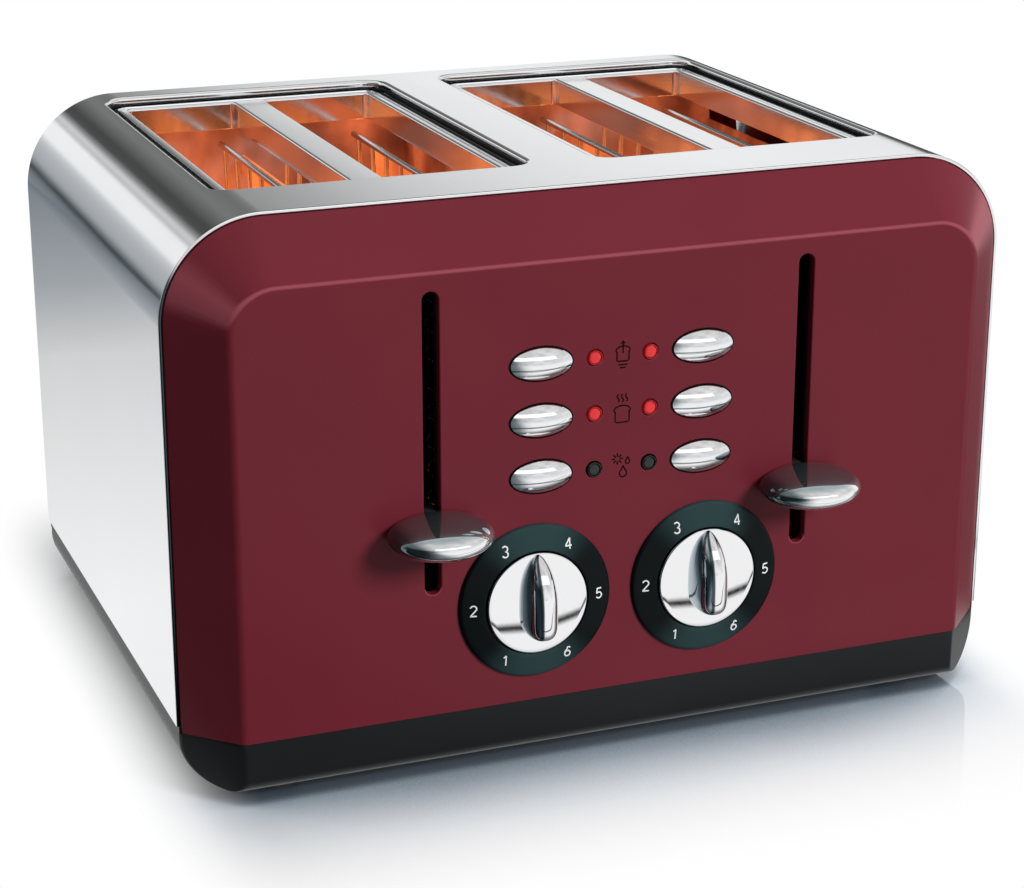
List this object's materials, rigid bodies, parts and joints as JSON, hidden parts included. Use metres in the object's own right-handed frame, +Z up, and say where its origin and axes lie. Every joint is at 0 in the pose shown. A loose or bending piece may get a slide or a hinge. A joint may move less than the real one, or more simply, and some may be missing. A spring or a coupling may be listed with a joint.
{
  "type": "toaster",
  "caption": "Wide toaster with a steel sleeve over its sides and top, bevelled red front panel, lever carriages, browning dials, oval push buttons and pull-out crumb trays.",
  "frame": {"origin": "middle of the object's footprint box, on the worktop under the feet", "axes": "+X to the right seen from the front, along the width; +Y from the control panel to the back; +Z up"},
  "size_m": [0.3, 0.2619, 0.195],
  "materials": {
    "sleeve_steel": "satin-polished stainless sheet",
    "red_panel": "deep red, semi-gloss",
    "black_base": "near-black, satin",
    "foot_rubber": "matt",
    "bright_frame": "polished",
    "chrome_trim": "polished",
    "dial_black": "gloss black with pale numbers",
    "lamp_red": "lit red lens",
    "lamp_dark": "unlit dark lens",
    "chassis_steel": "galvanised sheet",
    "bright_wire": "plated wire",
    "mica": "mica sheet",
    "heater_wire": "resistance wire, glowing",
    "spring_steel": "drawn wire",
    "screw_steel": "zinc-plated",
    "coil_copper": "enamelled copper winding",
    "board_green": "printed circuit board",
    "dark_parts": "moulded black",
    "terminal_white": "unglazed"
  },
  "bodies": {
    "housing": {"steel_sleeve": "sleeve_steel", "front_panel": "red_panel", "rear_panel": "red_panel", "base": "black_base", "feet": "foot_rubber", "cord_gland": "black_base", "terminal_block": "terminal_white", "rear_screws": "screw_steel", "small_screws": "screw_steel", "front_bulkhead": "chassis_steel", "rear_bulkhead": "chassis_steel", "heat_shields": "chassis_steel", "control_board": "board_green", "push_switches": "dark_parts", "lamps_lit": "lamp_red", "lamps_dark": "lamp_dark", "slot_frame_left": "bright_frame", "heater_cards_left": "mica", "heater_wires_left": "heater_wire", "guide_rod_left": "bright_wire", "carriage_spring_left": "spring_steel", "magnet_left": "coil_copper", "potentiometer_left": "dark_parts", "scale_ring_left": "dial_black", "slot_frame_right": "bright_frame", "heater_cards_right": "mica", "heater_wires_right": "heater_wire", "guide_rod_right": "bright_wire", "carriage_spring_right": "spring_steel", "magnet_right": "coil_copper", "potentiometer_right": "dark_parts", "scale_ring_right": "dial_black"},
    "carriage_left": {"carriage_left": "chassis_steel", "bread_lift_left": "chassis_steel", "lever_knob_left": "chrome_trim"},
    "bread_guide_left_1": {"bread_guide_left_1": "bright_wire"},
    "bread_guide_left_2": {"bread_guide_left_2": "bright_wire"},
    "bread_guide_left_3": {"bread_guide_left_3": "bright_wire"},
    "bread_guide_left_4": {"bread_guide_left_4": "bright_wire"},
    "dial_left": {"dial_knob_left": "chrome_trim", "dial_shaft_left": "screw_steel"},
    "button_left_1": {"button_left_1": "chrome_trim"},
    "button_left_2": {"button_left_2": "chrome_trim"},
    "button_left_3": {"button_left_3": "chrome_trim"},
    "crumb_tray_left": {"crumb_tray_left": "chassis_steel"},
    "carriage_right": {"carriage_right": "chassis_steel", "bread_lift_right": "chassis_steel", "lever_knob_right": "chrome_trim"},
    "bread_guide_right_1": {"bread_guide_right_1": "bright_wire"},
    "bread_guide_right_2": {"bread_guide_right_2": "bright_wire"},
    "bread_guide_right_3": {"bread_guide_right_3": "bright_wire"},
    "bread_guide_right_4": {"bread_guide_right_4": "bright_wire"},
    "dial_right": {"dial_knob_right": "chrome_trim", "dial_shaft_right": "screw_steel"},
    "button_right_1": {"button_right_1": "chrome_trim"},
    "button_right_2": {"button_right_2": "chrome_trim"},
    "button_right_3": {"button_right_3": "chrome_trim"},
    "crumb_tray_right": {"crumb_tray_right": "chassis_steel"}
  },
  "joints": [
    {"name": "carriage_left_slide", "type": "slide", "parent": "housing", "child": "carriage_left", "axis": [0, 0, 1], "range_m": [0, 0.07], "deforming": ["carriage_spring_left"]},
    {"name": "bread_guide_left_1_swing", "type": "hinge", "parent": "housing", "child": "bread_guide_left_1", "pos_m": [-0.0208, 0, 0.046], "axis": [0, 1, 0], "range_deg": [0, 2]},
    {"name": "bread_guide_left_2_swing", "type": "hinge", "parent": "housing", "child": "bread_guide_left_2", "pos_m": [-0.0587, 0, 0.046], "axis": [0, 1, 0], "range_deg": [-2, 0]},
    {"name": "bread_guide_left_3_swing", "type": "hinge", "parent": "housing", "child": "bread_guide_left_3", "pos_m": [-0.0743, 0, 0.046], "axis": [0, 1, 0], "range_deg": [0, 2]},
    {"name": "bread_guide_left_4_swing", "type": "hinge", "parent": "housing", "child": "bread_guide_left_4", "pos_m": [-0.1122, 0, 0.046], "axis": [0, 1, 0], "range_deg": [-2, 0]},
    {"name": "dial_left_turn", "type": "hinge", "parent": "housing", "child": "dial_left", "pos_m": [-0.031, -0.10665, 0.059], "axis": [0, 1, 0], "range_deg": [-150, 150]},
    {"name": "button_left_1_press", "type": "slide", "parent": "housing", "child": "button_left_1", "axis": [0, 1, 0], "range_m": [0, 0.002], "stiffness_N_per_m": 250, "springref_m": -0.002},
    {"name": "button_left_2_press", "type": "slide", "parent": "housing", "child": "button_left_2", "axis": [0, 1, 0], "range_m": [0, 0.002], "stiffness_N_per_m": 250, "springref_m": -0.002},
    {"name": "button_left_3_press", "type": "slide", "parent": "housing", "child": "button_left_3", "axis": [0, 1, 0], "range_m": [0, 0.002], "stiffness_N_per_m": 250, "springref_m": -0.002},
    {"name": "crumb_tray_left_slide", "type": "slide", "parent": "housing", "child": "crumb_tray_left", "axis": [0, 1, 0], "range_m": [0, 0.15]},
    {"name": "carriage_right_slide", "type": "slide", "parent": "housing", "child": "carriage_right", "axis": [0, 0, 1], "range_m": [0, 0.07], "deforming": ["carriage_spring_right"]},
    {"name": "bread_guide_right_1_swing", "type": "hinge", "parent": "housing", "child": "bread_guide_right_1", "pos_m": [0.0208, 0, 0.046], "axis": [0, 1, 0], "range_deg": [-2, 0]},
    {"name": "bread_guide_right_2_swing", "type": "hinge", "parent": "housing", "child": "bread_guide_right_2", "pos_m": [0.0587, 0, 0.046], "axis": [0, 1, 0], "range_deg": [0, 2]},
    {"name": "bread_guide_right_3_swing", "type": "hinge", "parent": "housing", "child": "bread_guide_right_3", "pos_m": [0.0743, 0, 0.046], "axis": [0, 1, 0], "range_deg": [-2, 0]},
    {"name": "bread_guide_right_4_swing", "type": "hinge", "parent": "housing", "child": "bread_guide_right_4", "pos_m": [0.1122, 0, 0.046], "axis": [0, 1, 0], "range_deg": [0, 2]},
    {"name": "dial_right_turn", "type": "hinge", "parent": "housing", "child": "dial_right", "pos_m": [0.031, -0.10665, 0.059], "axis": [0, 1, 0], "range_deg": [-150, 150]},
    {"name": "button_right_1_press", "type": "slide", "parent": "housing", "child": "button_right_1", "axis": [0, 1, 0], "range_m": [0, 0.002], "stiffness_N_per_m": 250, "springref_m": -0.002},
    {"name": "button_right_2_press", "type": "slide", "parent": "housing", "child": "button_right_2", "axis": [0, 1, 0], "range_m": [0, 0.002], "stiffness_N_per_m": 250, "springref_m": -0.002},
    {"name": "button_right_3_press", "type": "slide", "parent": "housing", "child": "button_right_3", "axis": [0, 1, 0], "range_m": [0, 0.002], "stiffness_N_per_m": 250, "springref_m": -0.002},
    {"name": "crumb_tray_right_slide", "type": "slide", "parent": "housing", "child": "crumb_tray_right", "axis": [0, 1, 0], "range_m": [0, 0.15]}
  ],
  "couplings": [
    {"joint": "bread_guide_left_1_swing", "follows": "carriage_left_slide", "rad_per_m": 0.498},
    {"joint": "bread_guide_left_2_swing", "follows": "carriage_left_slide", "rad_per_m": -0.498},
    {"joint": "bread_guide_left_3_swing", "follows": "carriage_left_slide", "rad_per_m": 0.498},
    {"joint": "bread_guide_left_4_swing", "follows": "carriage_left_slide", "rad_per_m": -0.498},
    {"joint": "bread_guide_right_1_swing", "follows": "carriage_right_slide", "rad_per_m": -0.498},
    {"joint": "bread_guide_right_2_swing", "follows": "carriage_right_slide", "rad_per_m": 0.498},
    {"joint": "bread_guide_right_3_swing", "follows": "carriage_right_slide", "rad_per_m": -0.498},
    {"joint": "bread_guide_right_4_swing", "follows": "carriage_right_slide", "rad_per_m": 0.498}
  ]
}
